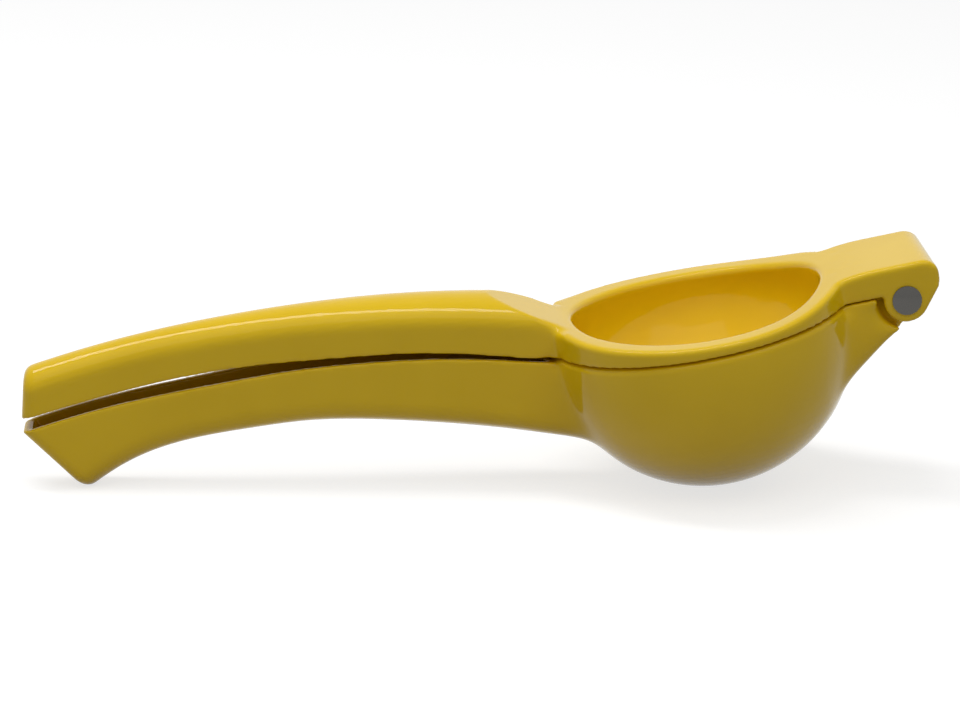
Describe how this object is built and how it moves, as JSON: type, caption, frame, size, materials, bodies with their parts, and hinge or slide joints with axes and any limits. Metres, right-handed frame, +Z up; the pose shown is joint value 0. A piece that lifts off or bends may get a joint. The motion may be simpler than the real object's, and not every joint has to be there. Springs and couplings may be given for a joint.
{
  "type": "lemon squeezer",
  "caption": "Hinged hand-held lemon squeezer: an enamelled lever with a pressing cup folds into a perforated bowl with its own handle.",
  "frame": {"origin": "middle of the outline's box, on the floor that the bowl and the lower handle's tip stand on", "axes": "+Z up, +X along the handles towards the hinge, Y along the hinge's rivet"},
  "size_m": [0.218, 0.074, 0.0585],
  "materials": {
    "enamel": "gloss",
    "steel": "satin"
  },
  "bodies": {
    "lower_lever": {"bowl_lever": "enamel"},
    "upper_lever": {"press_lever": "enamel", "hinge_pin": "steel", "pin_cap": "steel"}
  },
  "joints": [
    {"name": "hinge", "type": "hinge", "parent": "lower_lever", "child": "upper_lever", "pos_m": [0.10097, 0, 0.04893], "axis": [0, 1, 0], "range_deg": [0, 110]}
  ]
}
